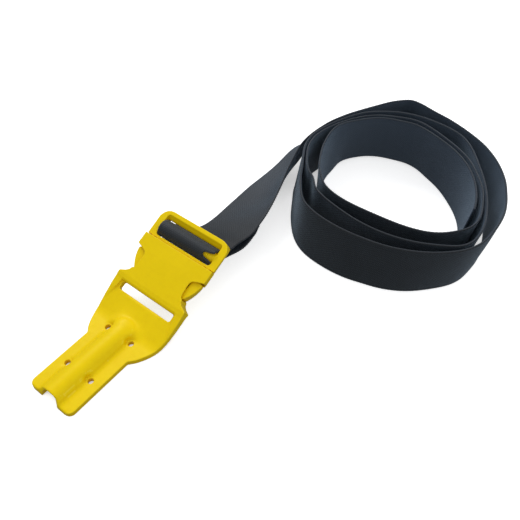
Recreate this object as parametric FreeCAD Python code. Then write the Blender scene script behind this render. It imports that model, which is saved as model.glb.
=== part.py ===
import FreeCAD, Part
import math
import os
from FreeCAD import Vector

# Dive weight belt: 50 mm webbing threaded on a side-release buckle whose
# female half ends in a bent screw-on anchor tail.
# Row frame, mm: origin at the centre of the four-hole pattern on the tail's
# underside, X across the buckle, Y from the tail towards the webbing, Z up.
# Buckle frame (u, v, w): the same axes moved to the bend line and tipped up by
# the bend. Buckle parts are drawn flat in it, then carried over by tilt().

# ------------------------------------------------------- bend and anchor tail
BEND_Y = 25.4            # the line where the slot plate starts to rise
BEND_DEG = 24.7          # rise of the buckle plane above the flat tail
BEND_R = 24.0            # underside radius of the bend
BEND_SIN = math.sin(math.radians(BEND_DEG))
BEND_COS = math.cos(math.radians(BEND_DEG))
PLATE_T = 4.0            # thickness of tail and slot plate
PLATE_END_V = 33.6

TAIL_END_Y = -44.2
TAIL_HALF_W = 20.0
TAIL_CORNER_R = 4.8
HOLE_X, HOLE_Y = 11.5, 18.4
HOLE_R = 2.1
SEAT_R = 3.7             # flat seat for a screw head, cut into the ridge flank
RIDGE_R = 9.8            # half-round ridge, outside
CHANNEL_R = 7.8          # half-round channel under it
RIDGE_Z = 1.0            # height of the ridge's centre line
RIDGE_END_Y = 23.0       # centre of the domed end

# ---------------------------------------------------------------- socket body
HALF_W = 32.3            # half width of slot plate and mouth block
SLOT_V0, SLOT_V1, SLOT_HALF = 22.0, 28.2, 25.1
SLOT_CORNER_R = 1.6
BODY_TOP, BODY_BOTTOM = 7.4, -4.3
BODY_FOOT_HALF = 28.4    # half width at the underside, below the leaning edges
BLOCK_V0, BLOCK_V1 = 57.4, 67.5
CAV_TOP, CAV_BOTTOM = 5.7, -2.5
CAV_HALF = 28.3          # inside half width of the mouth
WINDOW_V0 = 39.8
POCKET_HALF, POCKET_V0 = 21.5, 36.8   # shallower blind end of the cavity
RAIL_U0, RAIL_U1 = 5.4, 6.8
RAIL_V0, RAIL_V1 = 36.0, 60.0
RAIL_BITE = 0.4          # how far the rails run into the cavity's roof and floor
LEAN_Z = 3.0             # height from which side edges lean in, on both halves

# Tail and slot plate's curved shoulder, right side: (x, y)
SHOULDER = [(20.3, 7.0), (23.9, 11.2), (27.9, 18.9), (30.4, 26.5), (31.8, 33.5), (HALF_W, 41.0)]
# Side profile of the body: (v, w)
BODY_PROFILE = [
    (28.6, 0.0), (28.6, 5.4), (30.0, 6.3), (33.0, 6.8), (56.0, BODY_TOP), (BLOCK_V1, BODY_TOP),
    (BLOCK_V1, BODY_BOTTOM), (50.0, BODY_BOTTOM), (36.5, -2.6), (31.0, 0.0)]
# Right edge of the body in plan: (u, v), from the slot towards the mouth
NECK = [(HALF_W, 33.0), (31.9, 33.8), (30.6, 34.5), (27.8, 35.8), (25.6, 37.6)]
WINDOW_EDGE = [
    (24.6, WINDOW_V0), (23.2, 41.0), (22.5, 43.2), (22.2, 46.5), (22.0, 49.8), (22.2, 52.2),
    (23.3, 54.2), (25.7, 55.4), (30.0, 56.9)]
BLOCK_EDGE = [(HALF_W - 0.5, BLOCK_V0), (HALF_W, BLOCK_V0 + 0.6), (HALF_W, BLOCK_V1)]
# Raised rim beside the slot plate: side profile (v, w) and right-hand plan (u, v)
RIM_PROFILE = [(6.0, 1.0), (6.0, 3.6), (28.8, 6.0), (33.5, 6.9), (33.5, 1.0)]
RIM_PLAN = [(33.5, 5.0), (33.5, 33.8), (25.6, 33.8), (26.2, 28.6), (28.4, 18.0), (31.6, 5.0)]

# ----------------------------------------------------------- male frame, arms
FRAME_HALF = 32.1
FRAME_V0, FRAME_V1 = 68.0, 91.2
FRAME_TOP, FRAME_BOTTOM = 5.3, -2.5
FRAME_FOOT_HALF = 28.8   # half width at the underside
FRAME_CORNER_R = 8.8
EYE_V0, EYE_V1, EYE_HALF = 70.0, 88.0, 26.2
EYE_CORNER_R = 2.4
LEDGE_V = 85.2           # nose of the end bar's inner slope
PLUG_HALF, PLUG_TOP, PLUG_BOTTOM = 27.8, 5.2, -2.0
PLUG_V0 = 62.4
BAR_V, BAR_W, BAR_R = 77.3, 1.8, 4.1
RIB_R, RIB_W, RIB_PITCH = 4.5, 0.7, 1.5
TONGUE_BOTTOM, TONGUE_TOP = -1.6, 4.8

# Side profile of the end bar's slope: (v, w)
END_BAR_PROFILE = [(88.8, 0.0), (88.8, 5.3), (87.8, 5.0), (LEDGE_V, 2.0), (LEDGE_V, 1.1), (86.8, 0.0)]
# Right half of the tongue in plan: (u, v), from its tip
TONGUE_EDGE = [(3.6, 41.6), (5.0, 44.0), (5.0, 63)]

ARM_U, ARM_V = 24.2, 65.6  # where each arm bends
BEAM_U0, BEAM_U1 = 22.6, 25.8
KNUCKLE_R, KNUCKLE_GAP = 2.3, 0.08
ROOM_HALF_W, ROOM_LENGTH = 1.9, 8
SQUEEZE_DEG = 17.0
PAD_W = 2.2              # height from which the pad's outer edge leans in
PAD_LEAN = 2.0           # how far its widest point comes in at the foot
PAD_LEAN_U = 24.0        # the lean fades out at this distance from the middle
# Right arm's beam and pad in plan: (u, v)
PAD_PLAN = [
    (BEAM_U0, 62.0), (BEAM_U0, 57.5), (22.2, 52.0), (21.4, 46.0), (20.9, 41.8), (21.5, 40.4),
    (22.8, 40.2), (24.6, 41.2), (27.0, 44.6), (29.0, 48.4), (30.2, 52.0), (30.7, 54.6),
    (30.4, 55.9), (29.4, 56.3), (26.0, 56.3), (BEAM_U1, 58.5), (BEAM_U1, 62.0)]


# -------------------------------------------------------------- shape helpers
def up(u, v, w):
    """A point of the buckle frame, in the row frame."""
    return Vector(u, BEND_Y + v * BEND_COS - w * BEND_SIN, v * BEND_SIN + w * BEND_COS)


def tilt(shape):
    """Carries a shape drawn flat (u, v, w) on to the risen buckle plane."""
    tilted = shape.copy()
    tilted.rotate(Vector(0, 0, 0), Vector(1, 0, 0), BEND_DEG)
    tilted.translate(Vector(0, BEND_Y, 0))
    return tilted


def plan_wire(points, z):
    """Closed wire through (x, y) points at one height."""
    return Part.makePolygon([Vector(x, y, z) for x, y in points + points[:1]])


def flat(points, z0, z1):
    """Prism over a closed outline of (x, y) points."""
    return Part.Face(plan_wire(points, z0)).extrude(Vector(0, 0, z1 - z0))


def side(points, half):
    """Prism across X over a closed side profile of (y, z) points."""
    wire = Part.makePolygon([Vector(-half, y, z) for y, z in points + points[:1]])
    return Part.Face(wire).extrude(Vector(2 * half, 0, 0))


def on_side(sign, points):
    """A right-hand outline, put on the right (1) or left (-1)."""
    return [(sign * x, y) for x, y in points]


def mirror_outline(right):
    """Closed outline from its right half, listed from the low end to the high end."""
    return right + on_side(-1, reversed(right))


def smooth(points, steps):
    """Catmull-Rom points through a list of (x, y)."""
    padded = points[:1] + points + points[-1:]
    curve = []
    for a, b, c, d in zip(padded, padded[1:], padded[2:], padded[3:]):
        for k in range(steps):
            t = k / steps
            curve.append(tuple(
                0.5 * (2 * b[n] + (c[n] - a[n]) * t
                       + (2 * a[n] - 5 * b[n] + 4 * c[n] - d[n]) * t * t
                       + (-a[n] + 3 * b[n] - 3 * c[n] + d[n]) * t ** 3) for n in (0, 1)))
    return curve + points[-1:]


def corner(x, y, radius, start_deg, end_deg, steps):
    """Points of an arc about (x, y)."""
    angles = [math.radians(start_deg + (end_deg - start_deg) * i / steps)
              for i in range(steps + 1)]
    return [(x + radius * math.cos(a), y + radius * math.sin(a)) for a in angles]


def far_corners(half, v1, radius, steps):
    """The two rounded corners at the high-v end, right then left."""
    return (corner(half - radius, v1 - radius, radius, 0, 90, steps)
            + corner(-half + radius, v1 - radius, radius, 90, 180, steps))


def rounded(half, v0, v1, radius, w0, w1):
    """Block centred on u = 0 with four rounded upright edges."""
    return flat(far_corners(half, v1, radius, 5)
                + corner(-half + radius, v0 + radius, radius, 180, 270, 5)
                + corner(half - radius, v0 + radius, radius, 270, 360, 5), w0, w1)


def box(u0, u1, v0, v1, w0, w1):
    return Part.makeBox(u1 - u0, v1 - v0, w1 - w0, Vector(u0, v0, w0))


def side_box(sign, u0, u1, v0, v1, w0, w1):
    """Box given for the right side, put on the right (1) or left (-1)."""
    return box(min(sign * u0, sign * u1), max(sign * u0, sign * u1), v0, v1, w0, w1)


def mirror_x(shape):
    return shape.mirror(Vector(0, 0, 0), Vector(1, 0, 0))


def lean_edges(shape, half, foot_half, bottom, v_end, length):
    """Cuts the lower side edges inwards, so the section is a flattened hexagon."""
    section = [(24.0, bottom - 1), (34, bottom - 1), (34, LEAN_Z), (half, LEAN_Z),
               (foot_half, bottom)]
    for sign in (-1, 1):
        wedge = flat(section, 0, length)
        wedge.rotate(Vector(0, 0, 0), Vector(1, 0, 0), 90)
        wedge.translate(Vector(0, v_end, 0))
        if sign < 0:
            wedge = mirror_x(wedge)
        shape = shape.cut(wedge)
    return shape


# --------------------------------------------------------------------- socket
def plate_profile():
    """Side profile of the plate, flat from the tail end, then up the slope."""
    bend = math.radians(BEND_DEG)
    start_y = BEND_Y - BEND_R * math.tan(bend / 2)

    def face_line(offset):
        radius = BEND_R - offset
        arc = [(start_y + radius * math.sin(bend * i / 8),
                BEND_R - radius * math.cos(bend * i / 8)) for i in range(9)]
        end = up(0, PLATE_END_V, offset)
        return [(TAIL_END_Y - 1, offset)] + arc + [(end.y, end.z)]

    return face_line(0) + face_line(PLATE_T)[::-1]


def make_plan():
    """Upright prism over the plan outline of tail and slot plate."""
    right = corner(TAIL_HALF_W - TAIL_CORNER_R, TAIL_END_Y + TAIL_CORNER_R, TAIL_CORNER_R,
                   -90, 0, 8)
    right += [(TAIL_HALF_W, 5.6), (20.05, 6.4)] + smooth(SHOULDER, 6) + [(HALF_W, 70.0)]
    return flat(mirror_outline(right), -5, 60)


def domed_rod(radius, start_y):
    """Rod along the ridge's centre line with a ball at its domed end."""
    rod = Part.makeCylinder(radius, RIDGE_END_Y - start_y, Vector(0, start_y, RIDGE_Z),
                            Vector(0, 1, 0))
    return rod.fuse(Part.makeSphere(radius, Vector(0, RIDGE_END_Y, RIDGE_Z)))


def make_tail(plan):
    """Bent plate with a domed ridge, hollow underneath and open at the tail end."""
    plate = side(plate_profile(), 40).common(plan)
    ridge = domed_rod(RIDGE_R, TAIL_END_Y)
    ridge = ridge.common(box(-30, 30, TAIL_END_Y, TAIL_END_Y + 100, 0, 30))
    channel_y = TAIL_END_Y - 2
    channel = domed_rod(CHANNEL_R, channel_y)
    channel = channel.fuse(box(-CHANNEL_R, CHANNEL_R, channel_y, RIDGE_END_Y, -3, RIDGE_Z))
    tail = plate.fuse(ridge).cut(channel)
    for sx in (-1, 1):
        for sy in (-1, 1):
            x, y = sx * HOLE_X, sy * HOLE_Y
            tail = tail.cut(Part.makeCylinder(HOLE_R, 20, Vector(x, y, -2)))
            tail = tail.cut(Part.makeCylinder(SEAT_R, 12, Vector(x, y, PLATE_T)))
    return tail


def make_body():
    """Waisted body with side windows and the hollow mouth block, drawn flat."""
    right = [(HALF_W, 28.0)] + NECK + smooth(WINDOW_EDGE, 4) + BLOCK_EDGE
    body = side(BODY_PROFILE, 34).common(flat(mirror_outline(right), -10, 12))
    body = lean_edges(body, HALF_W, BODY_FOOT_HALF, BODY_BOTTOM, v_end=75, length=30)
    cavity = box(-CAV_HALF, CAV_HALF, BLOCK_V0 - 1, BLOCK_V1 + 1, CAV_BOTTOM, CAV_TOP)
    cavity = cavity.fuse(box(-36, 36, WINDOW_V0, BLOCK_V0, CAV_BOTTOM, CAV_TOP))
    cavity = cavity.fuse(box(-POCKET_HALF, POCKET_HALF, POCKET_V0, WINDOW_V0 + 1,
                             CAV_BOTTOM + 0.6, CAV_TOP - 0.4))
    body = body.cut(cavity)
    for sign in (-1, 1):     # two rails that guide the tongue
        body = body.fuse(side_box(sign, RAIL_U0, RAIL_U1, RAIL_V0, RAIL_V1,
                                  CAV_BOTTOM - RAIL_BITE, CAV_TOP + RAIL_BITE))
    return body


def make_socket():
    plan = make_plan()
    tail = make_tail(plan)
    body = make_body()
    # raised rims either side of the recessed slot plate
    rim = side(RIM_PROFILE, 34)
    left_rim, right_rim = [rim.common(flat(on_side(sign, RIM_PLAN), -2, 10)) for sign in (-1, 1)]
    rims = tilt(left_rim.fuse(right_rim)).common(plan)

    socket = tail.fuse(rims).fuse(tilt(body))
    socket = socket.cut(tilt(rounded(SLOT_HALF, SLOT_V0, SLOT_V1, SLOT_CORNER_R, -6, 12)))
    # trim plate and rims to the neck on each side
    outer = HALF_W + 6
    neck_cut = [(outer, 33.0)] + NECK + [(25.0, 45.0), (outer, 45.0)]
    for sign in (1, -1):
        trim = flat(on_side(sign, neck_cut), -6, 6.9).common(box(-60, 60, 30, 40, -6, 12))
        socket = socket.cut(tilt(trim))
    return socket.removeSplitter()


# ----------------------------------------------------------------- male frame
def make_ring():
    """Frame round the eye, with its sloped end bar."""
    outline = ([(-FRAME_HALF, FRAME_V0), (FRAME_HALF, FRAME_V0)]
               + far_corners(FRAME_HALF, FRAME_V1, FRAME_CORNER_R, 10))
    ring = flat(outline, FRAME_BOTTOM, FRAME_TOP)
    ring = ring.cut(rounded(EYE_HALF, EYE_V0, EYE_V1, EYE_CORNER_R, -5, 8))
    # the end bar stops short of the webbing below it, and slopes down towards the loop
    ring = ring.cut(box(-EYE_HALF + 1.0, EYE_HALF - 1.0, 84.0, 95.0, -6, 0.0))
    ring = ring.fuse(side(END_BAR_PROFILE, EYE_HALF + 0.6))
    return lean_edges(ring, FRAME_HALF, FRAME_FOOT_HALF, FRAME_BOTTOM, v_end=100, length=40)


def make_bar():
    """Ribbed round bar across the eye, which the webbing loops over."""
    def rod(radius, u, length):
        return Part.makeCylinder(radius, length, Vector(u, BAR_V, BAR_W), Vector(1, 0, 0))

    bar = rod(BAR_R, -EYE_HALF - 1, 2 * EYE_HALF + 2)
    gaps = int((2 * EYE_HALF - 3) / RIB_PITCH)
    for i in range(gaps + 1):
        u = -gaps * RIB_PITCH / 2 + i * RIB_PITCH
        bar = bar.fuse(rod(RIB_R, u - RIB_W / 2, RIB_W))
    return bar


def arm_room(sign):
    """What the base leaves open for the arm, from rest to fully squeezed."""
    room = Part.makeCylinder(KNUCKLE_R + KNUCKLE_GAP, 12, Vector(sign * ARM_U, ARM_V, -5))
    for i in range(6):
        sweep = box(ARM_U - ROOM_HALF_W, ARM_U + ROOM_HALF_W, ARM_V - ROOM_LENGTH, ARM_V, -5, 8)
        sweep.rotate(Vector(ARM_U, ARM_V, 0), Vector(0, 0, 1), -(SQUEEZE_DEG + 1) * i / 5)
        if sign < 0:
            sweep = mirror_x(sweep)
        room = room.fuse(sweep)
    return room


def make_male():
    male = make_ring().fuse(make_bar())
    # the ribs end level with the frame's underside
    male = male.cut(box(-60, 60, 60, 100, FRAME_BOTTOM - 4, FRAME_BOTTOM))
    base = box(-PLUG_HALF, PLUG_HALF, PLUG_V0, FRAME_V0 + 1.5, PLUG_BOTTOM, PLUG_TOP)
    tongue = flat(mirror_outline(TONGUE_EDGE), TONGUE_BOTTOM, TONGUE_TOP)
    male = male.fuse(base).fuse(tongue)
    for sign in (-1, 1):
        male = male.cut(arm_room(sign))
    return tilt(male).removeSplitter()


def make_arm(sign):
    """One sprung arm: knuckle, beam and the pad a thumb presses."""
    pad = on_side(sign, PAD_PLAN)
    lean_span = max(x for x, y in PAD_PLAN) - PAD_LEAN_U
    foot = on_side(sign, [(x - PAD_LEAN * max(0.0, x - PAD_LEAN_U) / lean_span, y)
                          for x, y in PAD_PLAN])
    arm = flat(pad, PAD_W, PLUG_TOP)
    wires = [plan_wire(foot, PLUG_BOTTOM), plan_wire(pad, PAD_W)]
    arm = arm.fuse(Part.makeLoft(wires, True, True))
    arm = arm.fuse(side_box(sign, BEAM_U0, BEAM_U1, 61.5, ARM_V, PLUG_BOTTOM, PLUG_TOP))
    knuckle = Part.makeCylinder(KNUCKLE_R, PLUG_TOP - PLUG_BOTTOM,
                                Vector(sign * ARM_U, ARM_V, PLUG_BOTTOM))
    return tilt(arm.fuse(knuckle)).removeSplitter()


# --------------------------------------------------------------- webbing belt
STRAP_W, STRAP_T = 50.0, 1.6
LOOP_R = 6.0             # middle of the webbing round the bar
FOOT_Z = 0.3             # the coil's foot edge, clear of the ground by a hair
COIL_X, COIL_Y = 92.0, 243.0

# Stations (left edge, right edge), each (x, y, z): the free end, under the lead
FREE_END = [
    ((-17.5, 146.2, 1.2), (25.8, 147.0, 24.6)), ((-18.2, 137.4, 1.8), (26.6, 139.0, 24.0)),
    ((-19.6, 127.4, 3.6), (27.0, 130.6, 22.0)), ((-22.0, 117.6, 8.8), (26.6, 121.0, 21.6))]
# Stations in the buckle frame, each edge (v, w): in under the bar, and out again
TO_BAR = [((86.0, -19.4), (87.3, -14.2)), ((81.8, -10.4), (82.3, -8.8))]
FROM_BAR = [((83.5, -3.4), (83.5, -3.0)), ((85.2, -8.2), (85.2, -6.9))]
# Stations of the lead from buckle to coil; the left edge becomes the coil's foot
LEAD = [
    ((-24.5, 112.5, 22.4), (25.0, 111.3, 28.5)), ((-21.5, 125.7, 9.9), (24.9, 128.8, 28.3)),
    ((-20.4, 138.2, 5.9), (23.2, 141.6, 29.9)), ((-20.5, 150.6, 4.7), (21.6, 153.5, 31.4)),
    ((-21.1, 163.5, 4.4), (19.8, 165.9, 32.9)), ((-21.7, 177.4, 4.0), (17.5, 179.0, 35.0)),
    ((-22.2, 191.9, 3.9), (14.5, 192.2, 37.8)), ((-22.4, 206.5, 4.0), (11.2, 205.0, 41.0)),
    ((-22.0, 220.8, 4.4), (8.2, 217.2, 44.1)), ((-21.4, 234.8, 5.4), (6.4, 228.9, 46.5)),
    ((-21.3, 248.1, 7.4), (6.7, 240.1, 48.0)), ((-20.4, 260.2, 8.3), (8.4, 250.5, 48.9)),
    ((-16.6, 270.6, 7.6), (10.7, 259.8, 49.6)), ((-9.0, 279.6, 5.6), (13.7, 269.3, 50.0)),
    ((3.9, 288.6, 2.6), (18.4, 281.3, 50.0))]
# Coil turns, outermost first: (x, y) of the top edge
TURN_1 = [
    (31.1, 307.7), (37.1, 318.3), (44.3, 327.3), (50.7, 332.2), (59.5, 332.6), (72.8, 329.9),
    (88.7, 327.0), (105.0, 322.2), (118.3, 316.8), (127.1, 312.2), (138.6, 304.0),
    (149.5, 293.4), (158.1, 282.0), (164.5, 269.6), (169.7, 256.7), (172.6, 244.8),
    (173.6, 234.0), (173.4, 222.0), (172.2, 212.0), (168.2, 201.6), (157.1, 187.7),
    (139.9, 174.5), (119.4, 165.6), (105.9, 162.8), (92.3, 161.1), (77.0, 161.3),
    (62.0, 163.6), (51.6, 167.6), (44.0, 173.6), (37.7, 181.4)]
TURN_2 = [
    (30.7, 191.8), (24.6, 202.4), (18.0, 213.6), (12.4, 224.5), (9.8, 236.5), (11.0, 251.0),
    (14.9, 266.0), (20.3, 280.0), (28.0, 292.4), (38.5, 302.0), (51.5, 310.5), (65.4, 315.0),
    (86.4, 316.5), (109.5, 311.5), (120.1, 303.5), (134.7, 286.6), (147.5, 269.3),
    (154.0, 258.0), (160.0, 245.0), (164.5, 232.6), (166.8, 222.0), (166.8, 210.0),
    (163.2, 201.0), (153.6, 192.6), (134.1, 181.8), (110.0, 175.6), (90.2, 175.4),
    (75.4, 177.4), (60.0, 181.0), (47.5, 186.6)]
TURN_3 = [
    (39.4, 195.0), (34.0, 198.6), (28.6, 203.6), (22.6, 211.6), (18.4, 218.5), (15.1, 225.4),
    (12.7, 236.4), (13.6, 248.9), (16.9, 262.0), (22.4, 275.5), (30.0, 287.0), (41.5, 297.2),
    (56.0, 304.8), (69.0, 308.6), (80.5, 307.4), (92.0, 303.9), (105.5, 298.6),
    (124.0, 288.9), (133.0, 281.2), (141.4, 272.0), (148.6, 262.6), (154.6, 250.0),
    (158.8, 238.0), (160.4, 228.0), (158.4, 218.5), (153.0, 209.8), (141.0, 198.4),
    (127.0, 192.3), (108.0, 189.0), (90.0, 187.8), (74.0, 187.4), (61.0, 189.4), (51.0, 193.6)]
TURN_4 = [
    (43.6, 200.4), (37.4, 207.8), (31.1, 217.9), (26.0, 228.8), (22.3, 239.5), (20.0, 250.5),
    (20.2, 262.0), (25.4, 273.8), (33.0, 284.5), (42.5, 293.6), (51.0, 298.2), (59.5, 301.0),
    (71.0, 303.6), (82.0, 302.2), (93.0, 298.8), (105.0, 294.4), (115.5, 289.2),
    (124.5, 283.2), (132.5, 276.0), (139.6, 267.6), (145.6, 258.0), (150.4, 247.0),
    (153.4, 237.0)]
# Lean of the coil wall: (bearing from the coil centre in degrees, foot shift x, foot shift y)
FAR_LEAN = [(45, -1.5, -0.5), (75, -3.0, 4.5), (100, -4.0, 6.5), (130, -7.0, 6.5),
            (155, -11.0, 3.0)]
SIDE_LEAN = [(-50, -1.9, 6.6), (-38, -4.6, 7.2), (-27, -6.6, 5.4), (-18, -7.0, 3.7),
             (-10, -6.3, 2.4), (0, -6.0, 1.0)]
NEAR_LEAN = [(-120, -1.0, 5.0), (-90, 3.0, 7.0)] + SIDE_LEAN
LEAN_1 = [
    (-180, -8.0, 0.5), (-142, -5.8, -1.0), (-130, -4.0, -1.2), (-120, -1.2, -1.2),
    (-108, 0.6, -0.6), (-93, 1.2, 1.2), (-77, 3.0, 4.6), (-62, 0.0, 5.6),
    *SIDE_LEAN, *FAR_LEAN, (180, -8.0, 0.5)]
LEAN_2 = [
    (-180, -7.0, 0.0), (-160, -7.2, -0.6), (-145, -6.6, -1.0), (-136, -5.4, -1.0),
    (-129, -1.8, 4.0), *NEAR_LEAN, *FAR_LEAN, (180, -7.0, 0.0)]
LEAN_3 = [
    (-180, -6.2, 0.3), (-160, -5.6, 0.8), (-138, -3.0, 2.6), (-130, -2.3, 4.2),
    *NEAR_LEAN, *FAR_LEAN, (180, -6.2, 0.3)]
LEAN_4 = [
    (-180, -0.5, 0.3), (-165, 0.0, 0.5), (-150, -0.8, 1.5), (-138, -2.4, 2.8), (-45, -2.5, 6.5),
    (-6, -4.6, 1.8), (0, -3.8, 1.0), (20, -1.8, 1.0), (45, -0.6, 0.6), (60, -1.9, 3.3),
    (75, -2.7, 5.6), (100, -4.5, 8.4), (130, -7.4, 7.2), (142, -8.8, 5.8), (154, -8.6, 2.8),
    (166, -1.8, 1.2), (180, -0.5, 0.3)]
TURNS = [(TURN_1, LEAN_1), (TURN_2, LEAN_2), (TURN_3, LEAN_3), (TURN_4, LEAN_4)]


def foot_shift(x, y, lean):
    """Foot shift at a top-edge point, interpolated by bearing."""
    bearing = math.degrees(math.atan2(y - COIL_Y, x - COIL_X))
    for (a0, x0, y0), (a1, x1, y1) in zip(lean, lean[1:]):
        if a0 <= bearing <= a1:
            t = (bearing - a0) / (a1 - a0)
            return x0 + (x1 - x0) * t, y0 + (y1 - y0) * t


def coil_wall(turn, lean):
    """Stations (foot, top) of one turn, keeping the webbing's full width."""
    wall = []
    for x, y in turn:
        dx, dy = foot_shift(x, y, lean)
        height = math.sqrt(STRAP_W ** 2 - dx * dx - dy * dy)
        wall.append((Vector(x + dx, y + dy, FOOT_Z), Vector(x, y, FOOT_Z + height)))
    return wall


def belt_stations():
    """All stations from the free end, round the bar, to the inside of the coil."""
    def row_frame(rows):
        return [(Vector(*left), Vector(*right)) for left, right in rows]

    def buckle_frame(rows):
        return [(up(-STRAP_W / 2, *left), up(STRAP_W / 2, *right)) for left, right in rows]

    loop = []
    for degrees in range(-95, -361, -19):
        angle = math.radians(degrees)
        point = (BAR_V + LOOP_R * math.cos(angle), BAR_W + LOOP_R * math.sin(angle))
        loop.append((point, point))
    stations = row_frame(FREE_END) + buckle_frame(TO_BAR + loop + FROM_BAR) + row_frame(LEAD)
    for turn, lean in TURNS:
        stations += coil_wall(turn, lean)
    return stations


def spline(points, knots):
    curve = Part.BSplineCurve()
    curve.interpolate(Points=points, Parameters=knots)
    return curve


def make_webbing():
    """Solid strap through the stations, with square-cut ends."""
    stations = belt_stations()
    knots = [0.0]
    for (l0, r0), (l1, r1) in zip(stations, stations[1:]):
        knots.append(knots[-1] + ((l1 + r1) * 0.5 - (l0 + r0) * 0.5).Length)
    left, right = [spline([station[k] for station in stations], knots) for k in (0, 1)]

    # resample both edges and offset half a thickness each way
    dense = []
    for start, end in zip(knots, knots[1:]):
        parts = 2 if (end - start) > 3.0 else 1
        dense += [start + (end - start) * j / parts for j in range(parts)]
    dense.append(knots[-1])
    lines = [[], [], [], []]
    for t in dense:
        on_left, on_right = left.value(t), right.value(t)
        normal = (left.tangent(t)[0] + right.tangent(t)[0]).cross(on_right - on_left)
        normal.normalize()
        offset = normal * (STRAP_T / 2)
        section = (on_left - offset, on_left + offset, on_right + offset, on_right - offset)
        for line, point in zip(lines, section):
            line.append(point)

    curves = [spline(line, dense).toShape() for line in lines]
    faces = [Part.makeRuledSurface(curves[i], curves[(i + 1) % 4]) for i in range(4)]
    for k in (0, -1):
        ends = [line[k] for line in lines]
        faces.append(Part.Face(Part.makePolygon(ends + ends[:1])))
    shell = Part.makeShell([part for face in faces for part in face.Faces])
    shell.sewShape()
    solid = Part.makeSolid(shell)
    if solid.Volume < 0:
        solid.reverse()
    return solid


# --------------------------------------------------------------------- export
PIECES = {
    "socket_body": make_socket(),
    "male_frame": make_male(),
    "left_release_arm": make_arm(-1),
    "right_release_arm": make_arm(1),
    "webbing_belt": make_webbing(),
}
os.makedirs("parts", exist_ok=True)
for name, shape in PIECES.items():
    if len(shape.Solids) == 1:
        shape = shape.Solids[0]
    shape.exportStep("parts/%s.step" % name)
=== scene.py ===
"""A yellow side-release buckle with black webbing threaded through it and coiled behind it.

X runs across the buckle, Y from the buckle's tail to the webbing, Z up. The tail lies flat;
past the line y = BEND_Y the buckle rises by BETA. Places on that slope are given as (u, v, w):
u across, v up the slope from the bend, w square to it. Lengths are in mm unless said otherwise.
"""

import math

import bpy
import bmesh
import numpy as np
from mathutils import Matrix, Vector


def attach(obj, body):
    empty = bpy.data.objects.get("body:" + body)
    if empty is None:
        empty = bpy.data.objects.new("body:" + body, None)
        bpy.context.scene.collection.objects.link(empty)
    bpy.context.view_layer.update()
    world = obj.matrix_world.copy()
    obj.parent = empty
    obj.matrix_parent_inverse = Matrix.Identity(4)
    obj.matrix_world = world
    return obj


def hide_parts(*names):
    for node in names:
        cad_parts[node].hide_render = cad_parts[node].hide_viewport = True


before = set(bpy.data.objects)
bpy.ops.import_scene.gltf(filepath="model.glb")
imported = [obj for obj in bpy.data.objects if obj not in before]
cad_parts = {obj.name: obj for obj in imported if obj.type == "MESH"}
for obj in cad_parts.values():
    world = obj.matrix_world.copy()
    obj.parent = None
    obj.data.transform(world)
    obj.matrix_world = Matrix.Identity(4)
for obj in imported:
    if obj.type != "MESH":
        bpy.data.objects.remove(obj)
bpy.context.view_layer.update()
MM = 0.001
scene = bpy.context.scene
scene.view_settings.view_transform = "Standard"
scene.view_settings.look = "None"

# ------------------------------------------------------- driving dimensions
BEND_Y = 25.4
BETA = math.radians(24.7)
SB, CB = math.sin(BETA), math.cos(BETA)
BAR_V, BAR_W = 77.3, 1.8                 # axis of the cross bar
STRAP_W, STRAP_T = 50.0, 1.5
HALF_W, HALF_T = STRAP_W / 2, STRAP_T / 2
VOXEL = 0.34


# ------------------------------------------------------------- calculations
def up(u, v, w):
    """Row-frame point of a place on the slope."""
    return np.array([u, BEND_Y + v * CB - w * SB, v * SB + w * CB])


def to_local(points):
    """(u, v, w) of row-frame points."""
    y, z = points[:, 1] - BEND_Y, points[:, 2]
    return np.stack([points[:, 0], y * CB + z * SB, z * CB - y * SB], 1)


def smoothstep(a, b, x):
    t = np.clip((x - a) / (b - a), 0, 1)
    return t * t * (3 - 2 * t)


def fade(x, a, b):
    """1 below a, 0 above b."""
    return 1 - smoothstep(a, b, x)


def plateau(x, rise, fall):
    """0 to 1 over the range rise, back to 0 over the range fall."""
    return smoothstep(*rise, x) * fade(x, *fall)


def value_noise(points, seed):
    """Smooth, seeded 3-D noise in -1..1 at points (n, 3)."""
    cell = np.floor(points).astype(np.int64)
    part = points - cell
    part = part * part * (3 - 2 * part)
    out = np.zeros(len(points))
    for corner in np.ndindex(2, 2, 2):
        mixed = (cell + corner) * np.array([374761393, 668265263, 2147483647])
        mixed = mixed.sum(1) + seed * 974634777
        mixed = (mixed ^ (mixed >> 13)) * 1274126177
        mixed = (mixed ^ (mixed >> 16)) & 0xFFFF
        weight = np.where(corner, part, 1 - part).prod(1)
        out += weight * (mixed / 32767.5 - 1)
    return out


def spline(knots, points):
    """Natural cubic spline through points at knots; returns an evaluator."""
    count = len(knots)
    gap = np.diff(knots)
    matrix = np.zeros((count, count))
    rhs = np.zeros((count, points.shape[1]))
    matrix[0, 0] = matrix[-1, -1] = 1
    for i in range(1, count - 1):
        matrix[i, i - 1:i + 2] = gap[i - 1], 2 * (gap[i - 1] + gap[i]), gap[i]
        rhs[i] = 6 * ((points[i + 1] - points[i]) / gap[i]
                      - (points[i] - points[i - 1]) / gap[i - 1])
    bend = np.linalg.solve(matrix, rhs)

    def evaluate(t):
        i = np.clip(np.searchsorted(knots, t, side="right") - 1, 0, count - 2)
        after = (knots[i + 1] - t)[:, None]
        before = (t - knots[i])[:, None]
        width = gap[i][:, None]
        return ((bend[i] * after ** 3 + bend[i + 1] * before ** 3) / (6 * width)
                + (points[i] / width - bend[i] * width / 6) * after
                + (points[i + 1] / width - bend[i + 1] * width / 6) * before)
    return evaluate


# ------------------------------------------------------- objects and meshes
def link(name, data):
    ob = bpy.data.objects.new(name, data)
    scene.collection.objects.link(ob)
    return ob


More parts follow.
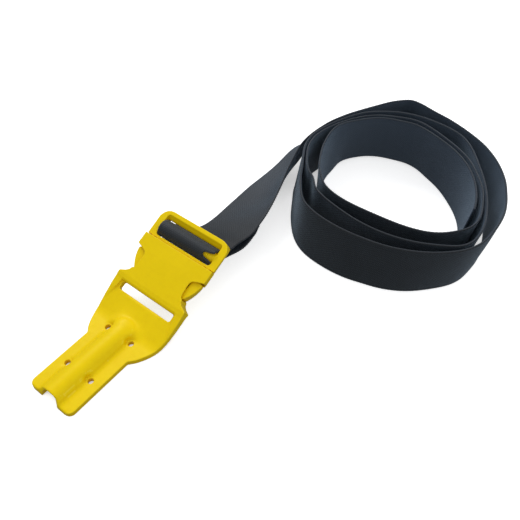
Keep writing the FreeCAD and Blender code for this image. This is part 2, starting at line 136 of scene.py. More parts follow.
def place(name, me, material, body, node=None):
    """Link a finished piece, parent it to its body's empty and hide the CAD node it replaces."""
    me.materials.append(material)
    ob = link(name, me)
    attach(ob, body)
    if node:
        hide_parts(node)


def aim(ob, location, target):
    ob.location = location
    ob.rotation_mode = "QUATERNION"
    ob.rotation_quaternion = (Vector(target) - Vector(location)).to_track_quat("-Z", "Y")


def to_mesh(bm, name):
    me = bpy.data.meshes.new(name)
    bm.to_mesh(me)
    bm.free()
    return me


# ---------------------------------------------------------------- materials
class Shader:
    """Short-hand for building the node tree of a material or a world."""

    def __init__(self, owner, end="BSDF_PRINCIPLED"):
        owner.use_nodes = True
        self.owner = owner
        self.tree = owner.node_tree
        self.end = next(n for n in self.tree.nodes if n.type == end)

    def put(self, socket, value):
        if isinstance(value, bpy.types.NodeSocket):
            self.tree.links.new(value, socket)
        else:
            socket.default_value = value

    def fill(self, node, values):
        for key, value in values.items():
            self.put(node.inputs[key], value)

    def node(self, kind, values=None, **settings):
        n = self.tree.nodes.new("ShaderNode" + kind)
        for key, value in settings.items():
            setattr(n, key, value)
        self.fill(n, values or {})
        return n

    def math(self, op, a, b=0.0, c=0.0):
        return self.node("Math", {0: a, 1: b, 2: c}, operation=op).outputs[0]

    def mul(self, a, b):
        return self.math("MULTIPLY", a, b)

    def split(self, vector):
        return self.node("SeparateXYZ", {0: vector}).outputs

    def noise(self, vector, scale, detail, rough):
        return self.node("TexNoise", {"Scale": scale, "Detail": detail, "Roughness": rough,
                                      "Vector": vector}).outputs[0]

    def ramp(self, value, lo, hi, start=0.0, end=1.0, **settings):
        """Map value from lo..hi to start..end, clamped."""
        return self.node("MapRange", {"Value": value, "From Min": lo, "From Max": hi,
                                      "To Min": start, "To Max": end},
                         clamp=True, **settings).outputs["Result"]

    def tint(self, base, colour, mask, strength=None):
        """Base turned to colour where mask is 1, as far as strength."""
        if strength is not None:
            mask = self.mul(mask, strength)
        n = self.node("Mix", data_type="RGBA")
        self.put(n.inputs["Factor"], mask)
        first, second = [s for s in n.inputs if s.type == "RGBA"]
        self.put(first, base)
        self.put(second, colour)
        return next(s for s in n.outputs if s.type == "RGBA")

    def bump(self, height, distance, strength, normal=None):
        n = self.node("Bump", {"Distance": distance, "Strength": strength, "Height": height})
        if normal is not None:
            self.put(n.inputs["Normal"], normal)
        return n.outputs[0]

    def place(self):
        return self.node("TexCoord").outputs["Object"]

    def pointiness(self):
        return self.node("NewGeometry").outputs["Pointiness"]

    def occlusion(self, samples, distance):
        return self.node("AmbientOcclusion", {"Distance": distance},
                         samples=samples).outputs["AO"]


def plastic():
    m = Shader(bpy.data.materials.new("yellow_moulded_plastic"))
    place_ = m.place()
    clouds = m.noise(place_, scale=38.0, detail=3.0, rough=0.55)
    mottle = m.noise(place_, scale=260.0, detail=4.0, rough=0.6)
    grain = m.noise(place_, scale=2600.0, detail=2.0, rough=0.5)
    colour = m.tint((0.815, 0.585, 0.0010, 1), colour=(0.855, 0.620, 0.0020, 1),
                    mask=m.ramp(clouds, lo=0.3, hi=0.7))
    colour = m.tint(colour, colour=(0.760, 0.525, 0.001, 1),
                    mask=m.ramp(mottle, lo=0.45, hi=0.75, end=0.35))
    # painted highlight on convex edges, painted shade in creases
    colour = m.tint(colour, colour=(0.90, 0.72, 0.05, 1),
                    mask=m.ramp(m.pointiness(), lo=0.515, hi=0.56), strength=0.45)
    colour = m.tint(colour, colour=(0.50, 0.33, 0.003, 1), strength=0.45,
                    mask=m.ramp(m.pointiness(), lo=0.44, hi=0.49, start=1.0, end=0.0))
    # light caught in corners of the yellow plastic comes back warmer
    corner = m.occlusion(samples=6, distance=0.009)
    colour = m.tint(colour, colour=(0.84, 0.515, 0.0, 1),
                    mask=m.ramp(corner, lo=0.25, hi=0.92, start=0.85, end=0.0))
    # fine scuffs: stretched noise read as a thin roughness change
    stretched = m.node("Mapping", {"Rotation": (0.3, 0.2, 0.7), "Scale": (1.0, 14.0, 6.0),
                                   "Vector": place_}).outputs[0]
    scuff = m.noise(stretched, scale=130.0, detail=2.0, rough=0.5)
    scuff = m.ramp(scuff, lo=0.62, hi=0.72)
    rough = m.ramp(mottle, lo=0.3, hi=0.7, start=0.34, end=0.46)
    relief = m.bump(mottle, distance=0.00012, strength=0.25)
    m.fill(m.end, {
        "Base Color": colour,
        "Roughness": m.math("ADD", rough, m.mul(scuff, 0.08)),
        "IOR": 1.49,
        "Specular IOR Level": 0.20,
        "Specular Tint": (1.0, 0.88, 0.42, 1),
        "Subsurface Weight": 0.06,
        "Subsurface Radius": (1.0, 0.7, 0.1),
        "Subsurface Scale": 0.0015,
        "Normal": m.bump(grain, distance=0.00002, strength=0.5, normal=relief),
    })
    return m.owner


# metres, as in the strap's UV map
YARN_ALONG, YARN_ACROSS = 0.00120, 0.00105
FILAMENT_SCALE = (900.0, 9000.0, 1.0)
# height of a yarn on top and of one passing below: (slope, offset) along its crown
OVER_CROWN, UNDER_CROWN = (0.55, 0.45), (0.35, 0.20)
# strength of the painted sheen on the side of the strap that faces into the coil
INNER_SIDE_PAINTED_SHEEN = 0.92


def weave_height(m, along, across):
    """Plain weave: yarns take turns to pass over and under on a chequerboard."""
    col = m.math("DIVIDE", along, YARN_ALONG)
    row = m.math("DIVIDE", across, YARN_ACROSS)

    def crown(cell):
        centred = m.math("SUBTRACT", m.math("FRACT", cell), 0.5)
        return m.math("COSINE", m.mul(centred, math.pi))

    col_crown, row_crown = crown(col), crown(row)
    parity = m.math("MODULO", m.math("ADD", m.math("FLOOR", col), m.math("FLOOR", row)), 2.0)
    parity = m.math("ABSOLUTE", parity)
    over = m.mul(row_crown, m.math("MULTIPLY_ADD", col_crown, *OVER_CROWN))
    under = m.mul(col_crown, m.math("MULTIPLY_ADD", row_crown, *UNDER_CROWN))
    return m.math("ADD", m.mul(over, parity), m.mul(under, m.math("SUBTRACT", 1.0, parity)))


def webbing_material():
    m = Shader(bpy.data.materials.new("black_woven_nylon"))
    strap_uv = m.node("UVMap", uv_map="strap").outputs[0]
    along, across = m.split(strap_uv)[:2]
    weave = weave_height(m, along, across)
    # individual filaments along each yarn
    stretched = m.node("Mapping", {"Scale": FILAMENT_SCALE, "Vector": strap_uv}).outputs[0]
    filament = m.noise(stretched, scale=1.0, detail=2.0, rough=0.6)
    place_ = m.place()
    worn = m.noise(place_, scale=22.0, detail=4.0, rough=0.6)
    dust = m.noise(place_, scale=900.0, detail=2.0, rough=0.5)
    # the hollows between the yarns are painted darker than the yarn tops: painted shade
    base = m.tint((0.0036, 0.0052, 0.0068, 1), colour=(0.0118, 0.0160, 0.0206, 1),
                  mask=m.ramp(weave, lo=0.1, hi=0.8))
    base = m.tint(base, colour=(0.0175, 0.0235, 0.0300, 1),
                  mask=m.ramp(filament, lo=0.35, hi=0.7), strength=0.35)
    base = m.tint(base, colour=(0.0190, 0.0255, 0.0325, 1),
                  mask=m.ramp(worn, lo=0.45, hi=0.75), strength=0.22)
    base = m.tint(base, colour=(0.075, 0.078, 0.082, 1),
                  mask=m.ramp(dust, lo=0.68, hi=0.80), strength=0.20)
    # selvedge: the outer 1.3 mm, a little paler towards the edge
    inset = m.math("SUBTRACT", HALF_W * MM, m.math("ABSOLUTE", across))
    base = m.tint(base, colour=(0.070, 0.080, 0.094, 1), strength=0.16,
                  mask=m.ramp(inset, lo=0.0005, hi=0.0013, start=1.0, end=0.0))
    # the strap's cut edge and the last half millimetre of each face are painted darker: painted
    # shade
    painted_edge_shade = m.ramp(inset, lo=0.0001, hi=0.0006, start=1.0, end=0.0)
    # the side that faces into the coil is painted paler and bluer: a painted sheen
    inner = m.node("Attribute", attribute_name="inner_side").outputs["Fac"]
    base = m.tint(base, colour=(0.058, 0.082, 0.116, 1), mask=inner, strength=INNER_SIDE_PAINTED_SHEEN)
    # the lead's upper face is painted darker by the buckle, a painted shade, and paler and bluer
    # towards the coil, a painted sheen
    y = m.split(place_)[1]
    facing_up = m.split(m.node("NewGeometry").outputs["Normal"])[2]
    lead = m.mul(m.ramp(facing_up, lo=0.35, hi=0.70), m.ramp(y, lo=0.100, hi=0.112))
    distance = m.ramp(y, lo=0.125, hi=0.205)
    near = m.mul(lead, m.math("SUBTRACT", 1.0, distance))
    far = m.mul(lead, distance)
    base = m.tint(base, colour=(0.0022, 0.0028, 0.0036, 1), mask=near, strength=0.75)
    base = m.tint(base, colour=(0.040, 0.051, 0.068, 1), mask=far, strength=0.55)
    # painted shade on the strap's cut edge
    base = m.tint(base, colour=(0.0065, 0.0075, 0.0095, 1), mask=painted_edge_shade, strength=0.62)
    relief = m.bump(weave, distance=0.00022, strength=0.8)
    m.fill(m.end, {
        "Base Color": base,
        # 0.31, less 0.18 by the buckle
        "Sheen Weight": m.math("MULTIPLY_ADD", near, -0.18, 0.31),
        "Roughness": m.ramp(weave, lo=0.0, hi=1.0, start=0.62, end=0.46),
        "IOR": 1.5,
        "Specular IOR Level": 0.38,
        "Sheen Roughness": 0.38,
        "Sheen Tint": (0.62, 0.80, 1.0, 1),
        "Normal": m.bump(filament, distance=0.00004, strength=0.5, normal=relief),
    })
    return m.owner


YELLOW = plastic()
BLACK = webbing_material()


# --------------------------------------------------------- moulded plastic
def cad_mesh(node):
    """Welded copy of a CAD node's mesh, in metres."""
    bm = bmesh.new()
    bm.from_mesh(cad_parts[node].data)
    bmesh.ops.remove_doubles(bm, verts=bm.verts, dist=2e-6)
    return to_mesh(bm, node + "_copy")


def remeshed(me, size):
    ob = link("tmp", me)
    mod = ob.modifiers.new("r", "REMESH")
    mod.mode = "VOXEL"
    mod.voxel_size = size
    mod.adaptivity = 0.0
    depsgraph = bpy.context.evaluated_depsgraph_get()
    out = bpy.data.meshes.new_from_object(ob.evaluated_get(depsgraph))
    bpy.data.objects.remove(ob)
    return out


TAUBIN = (0.5, -0.52)     # shrink, then grow back: rounds edges and keeps the volume
SHRINK = (0.5,)           # plain smoothing: evens a surface out


def relax(me, co, weight=1.0, steps=5, factors=TAUBIN):
    """Move each vertex towards the mean of its neighbours, weighted per vertex."""
    ends = np.empty(len(me.edges) * 2, dtype=np.int64)
    me.edges.foreach_get("vertices", ends)
    a, b = ends.reshape(-1, 2).T
    count = len(co)
    degree = np.bincount(ends, minlength=count).astype(float)
    weight = np.broadcast_to(np.asarray(weight, float), (count,))[:, None]
    for _ in range(steps):
        for factor in factors:
            total = np.zeros_like(co)
            for axis in range(3):
                total[:, axis] = (np.bincount(a, co[b, axis], count)
                                  + np.bincount(b, co[a, axis], count))
            co = co + factor * weight * (total / degree[:, None] - co)
    return co


def moulded(node, name, body, size, shape):
    """Remesh a CAD piece and shape its vertices in mm."""
    me = remeshed(cad_mesh(node), size * MM)
    me.name = name
    co = np.empty(len(me.vertices) * 3)
    me.vertices.foreach_get("co", co)
    co = shape(me, co.reshape(-1, 3) / MM)
    me.vertices.foreach_set("co", (co * MM).astype(np.float32).ravel())
    me.update()
    for p in me.polygons:
        p.use_smooth = True
    me.materials.clear()
    place(name, me, YELLOW, body, node)


HOLES = [(side * 11.5, end * 18.4) for side in (-1, 1) for end in (-1, 1)]
PLATE_TOP = 4.0
RIDGE_R, RIDGE_END = 9.8, 23.0           # ridge along Y; its domed end starts at RIDGE_END
# reach of the fillet beside the ridge, and what its left side and its dome add
FILLET, FILLET_LEFT, FILLET_DOME = 2.8, 2.6, 4.6
DOME_PRESS, MOUTH_CUT = 0.9, 2.3


def skin_z(x, y, reach):
    """Height of the tail's top skin: plate and ridge joined with a fillet, by bisection."""
    lo = np.full(len(x), 2.0)
    hi = np.full(len(x), 22.0)
    past_end = np.maximum(y - RIDGE_END, 0.0)
    for _ in range(26):
        z = (lo + hi) / 2
        plate = np.minimum(z - PLATE_TOP, z * CB - (y - BEND_Y) * SB - PLATE_TOP)
        ridge = np.sqrt(x * x + past_end * past_end + z * z) - RIDGE_R
        blend = np.maximum(reach - np.abs(plate - ridge), 0.0) / reach
        inside = np.minimum(plate, ridge) - blend * blend * reach / 4 < 0
        lo = np.where(inside, z, lo)
        hi = np.where(inside, hi, z)
    return (lo + hi) / 2


def off_holes(x, y, inner, outer):
    """0 within inner of a hole's axis, 1 beyond outer."""
    mask = np.ones(len(x))
    for hole_x, hole_y in HOLES:
        mask *= smoothstep(inner, outer, np.hypot(x - hole_x, y - hole_y))
    return mask


def on_tail_top(x, y, z):
    return (np.abs(x) < 17) & (y > -46) & (y < 44) & (z > 2.6)


def shape_socket(me, co):
    x, y, z = co.T                       # views: they follow the changes to co below
    # fillet where the ridge meets the plate, wider on its left and round its domed end
    top = np.nonzero(on_tail_top(x, y, z))[0]
    top_x, top_y = x[top], y[top]
    sharp = skin_z(top_x, top_y, 1e-3)
    reach = (FILLET + FILLET_LEFT * fade(top_x, -4.0, 2.0)
             + FILLET_DOME * smoothstep(12.0, 26.0, top_y))
    near = fade(np.abs(z[top] - sharp), 1.1, 1.8) * off_holes(top_x, top_y, 3.5, 4.4)
    co[top, 2] += (skin_z(top_x, top_y, reach) - sharp) * near
    # the dome is pressed down a little so that it runs out into the plate
    press = plateau(y, rise=(14.0, 31.0), fall=(31.0, 36.0))
    co[:, 2] -= DOME_PRESS * (press * fade(np.abs(x), 4.0, 10.5) * (z > 6.0))
    # the mouth of the ridge is cut back a little at its crown
    crown = smoothstep(3.6, 8.0, z) * fade(y, -44.2, -37.0) * (y < -30)
    co[:, 1] += MOUTH_CUT * crown
    co = relax(me, co)
    # even out the tail's top, then its dome, then the low end of the slope
    x, y, z = co.T
    calm = off_holes(x, y, 3.0, 5.0)
    co = relax(me, co, on_tail_top(x, y, z) * calm, 36, SHRINK)
    x, y, z = co.T
    dome = (y > 16) & (y < 44) & (np.abs(x) < 15) & (z > 3.4)
    co = relax(me, co, dome * calm, 60, SHRINK)
    v, w = to_local(co).T[1:]
    return relax(me, co, (v > 2) & (v < 21) & (w > 2.0), 12, SHRINK)


END_SHIFT, LIP_SHIFT = 0.6, 0.8


def shape_male(me, co):
    """Close the frame up to the webbing on both sides of the cross bar."""
    co = relax(me, co)
    u, v, w = to_local(co).T
    # the end bar's edge beyond the cross bar
    end = ((np.abs(u) < 26.4) * fade(v, 85.4, 88.4) * (v > 84.6)
           * plateau(w, rise=(-0.4, 0.9), fall=(2.2, 5.2)))
    # the low edge before the cross bar
    lip = (fade(np.abs(u), 22.6, 24.8) * (v > 69.0) * (v < 71.6)
           * plateau(w, rise=(-3.4, -2.4), fall=(-0.9, 0.1)))
    down_slope = END_SHIFT * end - LIP_SHIFT * lip
    co[:, 1] -= down_slope * CB
    co[:, 2] -= down_slope * SB
    return co


moulded("socket_body", "socket_shell", "socket", VOXEL, shape_socket)
moulded("male_frame", "male_frame_moulding", "male_half", VOXEL, shape_male)
for side in ("left", "right"):
    moulded(f"{side}_release_arm", f"{side}_arm_moulding", f"{side}_arm", VOXEL * 0.8, relax)


def ribbed_bar():
    """The cross bar the webbing turns on, with its fine grip ribs."""
    half_length, plain_end = 25.9, 1.2
    pitch, steps_per_rib, around = 1.65, 6, 56
    core_r, rib_h = 3.80, 0.80
    bm = bmesh.new()
    rings = []
    for u in np.arange(-half_length, half_length + 1e-6, pitch / steps_per_rib):
        ripple = 0.0
        if abs(u) < half_length - plain_end:
            ripple = max(0.0, math.cos(2 * math.pi * u / pitch)) ** 0.7
        r = core_r + rib_h * ripple
        angles = (2 * math.pi * k / around for k in range(around))
        rings.append([bm.verts.new(Vector(
            up(u, BAR_V + r * math.cos(a), BAR_W + r * math.sin(a)) * MM)) for a in angles])
    for a, b in zip(rings, rings[1:]):
        for k in range(around):
            k2 = (k + 1) % around
            bm.faces.new((a[k], a[k2], b[k2], b[k]))
    bm.faces.new(rings[0])
    bm.faces.new(list(reversed(rings[-1])))
    bmesh.ops.recalc_face_normals(bm, faces=bm.faces)
    me = to_mesh(bm, "ribbed_cross_bar")
    for p in me.polygons:
        p.use_smooth = len(p.vertices) == 4
    place("ribbed_cross_bar", me, YELLOW, "male_half")


ribbed_bar()

# ------------------------------------------------------------- webbing belt
# The belt is a run of rows, each the (x, y, z) of its left and its right edge. It goes from
# the free end, round the cross bar, along the lead and into a coil that stands on edge,
# where left is the foot and right the top.
LOOP_R, FOOT_Z = 6.0, 0.3

# free end, lying under the lead: (left edge), (right edge)
TAIL_ROWS = [
    ((-17.5, 146.2, 1.2), (25.8, 147.0, 24.6)), ((-18.2, 137.4, 1.8), (26.6, 139.0, 24.0)),
    ((-19.6, 127.4, 3.6), (27.0, 130.6, 22.0)), ((-22.0, 117.6, 8.8), (26.6, 121.0, 21.6)),
]
# on the slope, just before and just after the loop: left v, w, right v, w
BEFORE_LOOP = [(86.0, -19.4, 87.3, -14.2), (81.8, -10.4, 82.3, -8.8)]
AFTER_LOOP = [(83.5, -3.4, 83.5, -3.0), (85.2, -8.2, 85.2, -6.9)]
# the lead's edges, x, y, z
LEAD_R = [
    (25.0, 111.3, 28.5), (24.9, 128.8, 28.3), (23.2, 141.6, 29.9), (21.6, 153.5, 31.4),
    (19.8, 165.9, 32.9), (17.5, 179.0, 35.0), (14.5, 192.2, 37.8), (11.2, 205.0, 41.0),
    (8.2, 217.2, 44.1), (6.4, 228.9, 46.5), (6.7, 240.1, 48.0), (8.4, 250.5, 48.9),
    (10.7, 259.8, 49.6), (13.7, 269.3, 50.0), (18.4, 281.3, 50.0),
]
LEAD_L = [
    (-24.5, 112.5, 22.4), (-21.5, 125.7, 9.9), (-20.4, 138.2, 5.9), (-20.5, 150.6, 4.7),
    (-21.1, 163.5, 4.4), (-21.7, 177.4, 4.0), (-22.2, 191.9, 3.9), (-22.4, 206.5, 4.0),
    (-22.0, 220.8, 4.4), (-21.4, 234.8, 5.4), (-21.3, 248.1, 7.4), (-20.4, 260.2, 8.3),
    (-16.6, 270.6, 7.6), (-9.0, 279.6, 5.6), (3.9, 288.6, 2.6),
]
# x, y of the coil's top edge, one table per turn, from the outside in
TURNS = [
    [(31.1, 307.7), (37.1, 318.3), (44.3, 327.3), (50.7, 332.2), (59.5, 332.6), (72.8, 329.9),
     (88.7, 327.0), (105.0, 322.2), (118.3, 316.8), (127.1, 312.2), (138.6, 304.0),
     (149.5, 293.4), (158.1, 282.0), (164.5, 269.6), (169.7, 256.7), (172.6, 244.8),
     (173.6, 234.0), (173.4, 222.0), (172.2, 212.0), (168.2, 201.6), (157.1, 187.7),
     (139.9, 174.5), (119.4, 165.6), (105.9, 162.8), (92.3, 161.1), (77.0, 161.3),
     (62.0, 163.6), (51.6, 167.6), (44.0, 173.6), (37.7, 181.4)],
    [(30.7, 191.8), (24.6, 202.4), (18.0, 213.6), (12.4, 224.5), (9.8, 236.5), (11.0, 251.0),
     (14.9, 266.0), (20.3, 280.0), (28.0, 292.4), (38.5, 302.0), (51.5, 310.5), (65.4, 315.0),
     (86.4, 316.5), (109.5, 311.5), (120.1, 303.5), (134.7, 286.6), (147.5, 269.3),
     (154.0, 258.0), (160.0, 245.0), (164.5, 232.6), (166.8, 222.0), (166.8, 210.0),
     (163.2, 201.0), (153.6, 192.6), (134.1, 181.8), (110.0, 175.6), (90.2, 175.4),
     (75.4, 177.4), (60.0, 181.0), (47.5, 186.6)],
    [(39.4, 195.0), (34.0, 198.6), (28.6, 203.6), (22.6, 211.6), (18.4, 218.5), (15.1, 225.4),
     (12.7, 236.4), (13.6, 248.9), (16.9, 262.0), (22.4, 275.5), (30.0, 287.0), (41.5, 297.2),
     (56.0, 304.8), (69.0, 308.6), (80.5, 307.4), (92.0, 303.9), (105.5, 298.6),
     (124.0, 288.9), (133.0, 281.2), (141.4, 272.0), (148.6, 262.6), (154.6, 250.0),
     (158.8, 238.0), (160.4, 228.0), (158.4, 218.5), (153.0, 209.8), (141.0, 198.4),
     (127.0, 192.3), (108.0, 189.0), (90.0, 187.8), (74.0, 187.4), (61.0, 189.4),
     (51.0, 193.6)],
    [(43.6, 200.4), (37.4, 207.8), (31.1, 217.9), (26.0, 228.8), (22.3, 239.5), (20.0, 250.5),
     (20.2, 262.0), (25.4, 273.8), (33.0, 284.5), (42.5, 293.6), (51.0, 298.2), (59.5, 301.0),
     (71.0, 303.6), (82.0, 302.2), (93.0, 298.8), (105.0, 294.4), (115.5, 289.2),
     (124.5, 283.2), (132.5, 276.0), (139.6, 267.6), (145.6, 258.0), (150.4, 247.0),
     (153.4, 237.0)],
]
# How the coil leans: bearing from COIL_CENTRE in degrees, then x and y shift of the foot.
# BACK is on the coil's +Y side, FRONT on its -Y side.
COIL_CENTRE = (92.0, 243.0)
BACK = [(45, -1.5, -0.5), (75, -3.0, 4.5), (100, -4.0, 6.5), (130, -7.0, 6.5), (155, -11.0, 3.0)]
FRONT = [(-120, -1.0, 5.0), (-90, 3.0, 7.0), (-50, -1.9, 6.6), (-38, -4.6, 7.2),
         (-27, -6.6, 5.4), (-18, -7.0, 3.7), (-10, -6.3, 2.4), (0, -6.0, 1.0)]
LEANS = [
    [(-180, -8.0, 0.5), (-142, -5.8, -1.0), (-130, -4.0, -1.2), (-120, -1.2, -1.2),
     (-108, 0.6, -0.6), (-93, 1.2, 1.2), (-77, 3.0, 4.6), (-62, 0.0, 5.6),
     *FRONT[2:], *BACK, (180, -8.0, 0.5)],
    [(-180, -7.0, 0.0), (-160, -7.2, -0.6), (-145, -6.6, -1.0), (-136, -5.4, -1.0),
     (-129, -1.8, 4.0), *FRONT, *BACK, (180, -7.0, 0.0)],
    [(-180, -6.2, 0.3), (-160, -5.6, 0.8), (-138, -3.0, 2.6), (-130, -2.3, 4.2),
     *FRONT, *BACK, (180, -6.2, 0.3)],
    [(-180, -0.5, 0.3), (-165, 0.0, 0.5), (-150, -0.8, 1.5), (-138, -2.4, 2.8),
     (-45, -2.5, 6.5), (-6, -4.6, 1.8), (0, -3.8, 1.0), (20, -1.8, 1.0), (45, -0.6, 0.6),
     (60, -1.9, 3.3), (75, -2.7, 5.6), (100, -4.5, 8.4), (130, -7.4, 7.2), (142, -8.8, 5.8),
     (154, -8.6, 2.8), (166, -1.8, 1.2), (180, -0.5, 0.3)],
]

# index of the first and last row of the loop and of the lead
LOOP_DEGREES = range(-95, -361, -19)
LOOP_FIRST = len(TAIL_ROWS) + len(BEFORE_LOOP)
LOOP_LAST = LOOP_FIRST + len(LOOP_DEGREES) - 1
LEAD_FIRST = LOOP_LAST + len(AFTER_LOOP) + 1
LEAD_LAST = LEAD_FIRST + len(LEAD_L) - 1

STEP = 0.6
# the right edge is drawn in over the bar: centre and half width as shares of the loop,
# depth, and the power that squares off its sides
NOTCH_S, NOTCH_W, NOTCH_D, NOTCH_POWER = 0.64, 0.105, 8.0, 4.5
# the lead's arch across its width: height, and how far and which way its right edge goes
ARCH_H, ARCH_SHIFT, ARCH_WAY = 9.0, 5.0, np.array([-0.40227, 0.51826, -0.75471])
# other shifts: the lead's right and left edges, and the right corner of the free end
LEAD_R_SHIFT = np.array([2.6, 0.0, -3.0])
LEAD_L_SHIFT = np.array([-1.5, 0.0, 0.0])
TIP_SHIFT = np.array([-1.4, 0.0, 0.3])
SCALLOP_H, SCALLOP_PITCH = 0.10, 2.4     # small waves along both selvedges
FACE_POINTS = 27                         # points across each face of the strap


def slope_row(v_left, w_left, v_right, w_right):
    return up(-HALF_W, v_left, w_left), up(HALF_W, v_right, w_right)


def loop_row(degrees):
    a = math.radians(degrees)
    v, w = BAR_V + LOOP_R * math.cos(a), BAR_W + LOOP_R * math.sin(a)
    return slope_row(v, w, v, w)


def coil_row(x, y, lean):
    """The strap on edge, its foot shifted out by the lean and its width kept."""
    bearing = math.degrees(math.atan2(y - COIL_CENTRE[1], x - COIL_CENTRE[0]))
    for (a0, x0, y0), (a1, x1, y1) in zip(lean, lean[1:]):
        if a0 <= bearing <= a1:
            t = (bearing - a0) / (a1 - a0)
            dx, dy = x0 + (x1 - x0) * t, y0 + (y1 - y0) * t
            break
    height = math.sqrt(STRAP_W ** 2 - dx * dx - dy * dy)
    return (x + dx, y + dy, FOOT_Z), (x, y, FOOT_Z + height)


def belt_rows():
    rows = TAIL_ROWS + [slope_row(*r) for r in BEFORE_LOOP]
    rows += [loop_row(d) for d in LOOP_DEGREES]
    rows += [slope_row(*r) for r in AFTER_LOOP]
    rows += zip(LEAD_L, LEAD_R)
    for turn, lean in zip(TURNS, LEANS):
        rows += [coil_row(x, y, lean) for x, y in turn]
    return np.array(rows)


def cross_section():
    """Round the strap: place across (-1..1 edge to edge) and height (mm) of each point."""
    even = np.linspace(-1, 1, FACE_POINTS)
    across = np.sign(even) * (1 - (1 - np.abs(even)) ** 1.35)    # dense near the selvedges
    inset = (1 - np.abs(across)) * HALF_W
    # a bead along each selvedge with a groove beside it
    height = (HALF_T + 0.16 * np.exp(-((inset - 0.75) / 0.55) ** 2)
              - 0.10 * np.exp(-((inset - 1.9) / 0.5) ** 2))
    height[[0, -1]] = HALF_T * 0.86
    edge = np.array([1.016, 1.024, 1.016])
    edge_height = np.array([0.45, 0.0, -0.45])
    return (np.concatenate([across, edge, across[::-1], -edge]),
            np.concatenate([height, edge_height, -height[::-1], -edge_height]))


def cut_end(offset, reverse):
    """Faces closing one end: quads across the thickness and a fan at each selvedge."""
    right, left = FACE_POINTS - 1, 2 * FACE_POINTS + 2       # right on top, left beneath
    faces = [[k, left - k, left - k - 1, k + 1] for k in range(right)]
    faces += [[right, right + 4, right + 3, right + 2, right + 1],
              [left, 0, left + 3, left + 2, left + 1]]
    return [[offset + k for k in (f[::-1] if reverse else f)] for f in faces]


def build_belt():
    rows = belt_rows()
    gaps = np.linalg.norm(np.diff(rows.mean(1), axis=0), axis=1)
    par = np.concatenate([[0], np.cumsum(gaps)])
    left, right = spline(par, rows[:, 0]), spline(par, rows[:, 1])
    t = np.arange(0.0, par[-1], STEP)
    count = len(t)

    def edges(at):
        """Left edge, right edge and share of the arch at distances along the belt."""
        l, r = left(at), right(at)
        arch = (at > par[LEAD_FIRST - 1]) & (at < par[LEAD_LAST + 1])
        arch = arch * plateau((l[:, 1] + r[:, 1]) / 2, rise=(141, 188), fall=(226, 280))
        r = r + arch[:, None] * ARCH_SHIFT * ARCH_WAY
        lead = (at > par[LEAD_FIRST - 1]) & (at < par[LEAD_LAST])
        share = lead * plateau(r[:, 1], rise=(118, 143), fall=(149, 205))
        r = r + share[:, None] * LEAD_R_SHIFT
        share = lead * plateau(l[:, 1], rise=(112, 130), fall=(190, 225))
        l = l + share[:, None] * LEAD_L_SHIFT
        tip = (at < par[1]) * fade(at, 0.0, par[1])
        return l, r + tip[:, None] * TIP_SHIFT, arch

    l, r, arch = edges(t)
    l_next, r_next, _ = edges(np.clip(t + 0.2, 0, par[-1]))
    tangent = l_next - l + r_next - r
    tangent /= np.linalg.norm(tangent, axis=1)[:, None]
    normal = np.cross(tangent, r - l)
    normal /= np.linalg.norm(normal, axis=1)[:, None]
    # smooth the normals a little along the belt
    kernel = np.ones(5) / 5
    normal = np.stack([np.convolve(np.pad(normal[:, axis], 2, mode="edge"), kernel, mode="valid")
                       for axis in range(3)], 1)
    normal /= np.linalg.norm(normal, axis=1)[:, None]
    normal = normal[:, None, :]

    t0, t1 = par[LOOP_FIRST], par[LOOP_LAST]
    share = (t - t0) / (t1 - t0)         # 0 under the bar, 1 at its far side
    notch = (np.exp(-np.abs((share - NOTCH_S) / NOTCH_W) ** NOTCH_POWER) * NOTCH_D
             * ((t > t0 - 5) & (t < t1 + 5)))
    across, height = cross_section()
    size = len(across)
    extent = across - notch[:, None] / HALF_W * np.maximum(0.0, across) ** 4
    scallop = SCALLOP_H * np.sin(2 * math.pi * t / SCALLOP_PITCH)
    selvedge = (np.abs(across) > 0.985) * np.sign(across)
    extent = extent + scallop[:, None] * selvedge / HALF_W
    points = ((r + l) / 2)[:, None] + ((r - l) / 2)[:, None] * extent[:, :, None]
    # soft unevenness, only past the loop
    flat = points.reshape(-1, 3)
    soft = value_noise(flat / 34.0, seed=3) * 0.32 + value_noise(flat / 13.0, seed=5) * 0.10
    soft = soft.reshape(count, size) * smoothstep(t1 + 25, t1 + 90, t)[:, None]
    points += normal * soft[:, :, None]
    points += normal * height[None, :, None]
    across = np.clip(across, -1.0, 1.0)
    points += normal * ((arch * ARCH_H)[:, None] * (1 - across ** 2))[:, :, None]

    i = np.arange(count - 1)[:, None] * size
    j = np.arange(size)[None, :]
    j2 = (j + 1) % size
    quads = np.stack([i + j, i + j2, i + size + j2, i + size + j], -1).reshape(-1, 4)
    faces = quads.tolist() + cut_end(0, True) + cut_end((count - 1) * size, False)
    me = bpy.data.meshes.new("webbing_strap")
    me.from_pydata((points.reshape(-1, 3) * MM).tolist(), [], faces)
    me.update()
    bm = bmesh.new()
    bm.from_mesh(me)
    bmesh.ops.recalc_face_normals(bm, faces=bm.faces)
    bm.to_mesh(me)
    bm.free()
    for p in me.polygons:
        p.use_smooth = True
    # UV in metres: along the strap, and across it from its middle
    uv = np.stack([np.repeat(t, size) * MM, np.tile(across * HALF_W, count) * MM], 1)
    corners = np.empty(len(me.loops), dtype=np.int64)
    me.loops.foreach_get("vertex_index", corners)
    layer = me.uv_layers.new(name="strap")
    layer.data.foreach_set("uv", uv[corners].astype(np.float32).ravel())
    inner = np.tile(smoothstep(-0.3, 0.3, height), count).astype(np.float32)
    me.attributes.new("inner_side", "FLOAT", "POINT").data.foreach_set("value", inner)
    place("webbing_strap", me, BLACK, "webbing", "webbing_belt")


build_belt()


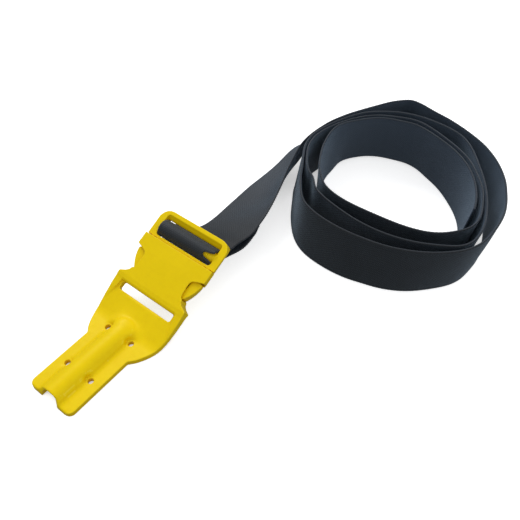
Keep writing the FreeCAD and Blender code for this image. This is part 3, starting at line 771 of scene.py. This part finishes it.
# -------------------------- floor, surroundings, lights and camera, in metres
def floor():
    bm = bmesh.new()
    bmesh.ops.create_grid(bm, x_segments=1, y_segments=1, size=3.0)
    me = to_mesh(bm, "floor")
    ob = link("floor", me)
    ob.location = (0.08, 0.15, -0.0003)
    m = Shader(bpy.data.materials.new("pale_floor"))
    # light that reaches the floor from all round dies away in holes and under edges
    openness = m.occlusion(samples=8, distance=0.02)
    m.fill(m.end, {
        "Base Color": (0.80, 0.80, 0.80, 1),
        "Roughness": 0.95,
        "Specular IOR Level": 0.0,
        "Emission Color": (1, 1, 1, 1),
        "Emission Strength": m.ramp(openness, lo=0.02, hi=0.42, start=0.16, end=0.68),
    })
    me.materials.append(m.owner)
    ob.visible_diffuse = False
    ob.visible_glossy = False


def surroundings():
    """Pale overhead, falling off towards the horizon; plain pale paper to the camera."""
    scene.world = bpy.data.worlds.new("studio")
    m = Shader(scene.world, "BACKGROUND")
    height = m.split(m.node("TexCoord").outputs["Generated"])[2]
    glow = m.ramp(height, lo=-0.25, hi=0.95, start=0.17, end=0.83,
                  interpolation_type="SMOOTHSTEP")
    # inputs of the float mix: 0 factor, 2 first value, 3 second value
    seen = m.node("Mix", {0: m.node("LightPath").outputs["Is Camera Ray"], 2: glow, 3: 1.08})
    m.fill(m.end, {"Strength": seen.outputs[0], "Color": (0.965, 0.98, 1.0, 1)})


def area(name, at, size, power, colour):
    light = bpy.data.lights.new(name, "AREA")
    light.shape = "DISK"
    light.size = size
    light.energy = power
    light.color = colour
    aim(link(name, light), at, target=(0.05, 0.13, 0.0))


floor()
surroundings()
area("key", at=(-0.92, 0.72, 1.08), size=0.9, power=10.9, colour=(0.985, 0.99, 1.0))
area("fill", at=(1.05, 0.85, 0.95), size=1.1, power=2.4, colour=(1.0, 0.995, 0.985))
area("low", at=(1.00, -0.42, 0.26), size=0.7, power=1.2, colour=(0.97, 0.99, 1.0))

camera = bpy.data.cameras.new("camera")
camera.sensor_width = 36.0
camera.lens = 41.54
camera.clip_start, camera.clip_end = 0.01, 20.0
scene.camera = link("camera", camera)
aim(scene.camera, (0.22312, -0.10786, 0.35660), target=(0.03305, 0.13702, 0.0))
